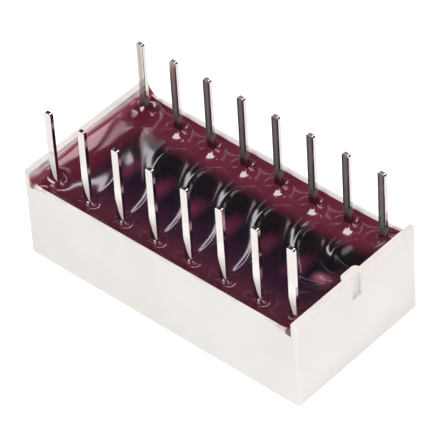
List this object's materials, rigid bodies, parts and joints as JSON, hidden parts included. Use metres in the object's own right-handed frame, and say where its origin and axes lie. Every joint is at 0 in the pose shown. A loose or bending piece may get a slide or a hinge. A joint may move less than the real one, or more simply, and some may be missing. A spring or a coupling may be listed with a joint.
{
  "type": "led bar graph display",
  "caption": "Plug-in light-bar display: white moulded box with tapered reflector cavities, dark red resin fill and two rows of upright leads, lying on its light-emitting face.",
  "frame": {"origin": "middle of the light-emitting face, which the display lies on", "axes": "+X along the row of light bars, +Y across it from the anode row to the cathode row, +Z out of the back, along the leads"},
  "size_m": [0.0204, 0.0102, 0.0103],
  "materials": {
    "white_plastic": "warm white moulded plastic, satin",
    "red_resin": "glossy dark red translucent epoxy",
    "tinned_strip": "bright tin plating on sheared strip",
    "led_crystal": "diced semiconductor crystal",
    "gold_wire": "drawn gold wire"
  },
  "bodies": {
    "root": {"housing": "white_plastic", "resin_fill": "red_resin", "anode_lead_1": "tinned_strip", "anode_lead_2": "tinned_strip", "anode_lead_3": "tinned_strip", "anode_lead_4": "tinned_strip", "anode_lead_5": "tinned_strip", "anode_lead_6": "tinned_strip", "anode_lead_7": "tinned_strip", "anode_lead_8": "tinned_strip", "cathode_lead_1": "tinned_strip", "cathode_lead_2": "tinned_strip", "cathode_lead_3": "tinned_strip", "cathode_lead_4": "tinned_strip", "cathode_lead_5": "tinned_strip", "cathode_lead_6": "tinned_strip", "cathode_lead_7": "tinned_strip", "cathode_lead_8": "tinned_strip", "led_die_1": "led_crystal", "led_die_2": "led_crystal", "led_die_3": "led_crystal", "led_die_4": "led_crystal", "led_die_5": "led_crystal", "led_die_6": "led_crystal", "led_die_7": "led_crystal", "led_die_8": "led_crystal", "bond_wire_1": "gold_wire", "bond_wire_2": "gold_wire", "bond_wire_3": "gold_wire", "bond_wire_4": "gold_wire", "bond_wire_5": "gold_wire", "bond_wire_6": "gold_wire", "bond_wire_7": "gold_wire", "bond_wire_8": "gold_wire"}
  },
  "joints": []
}
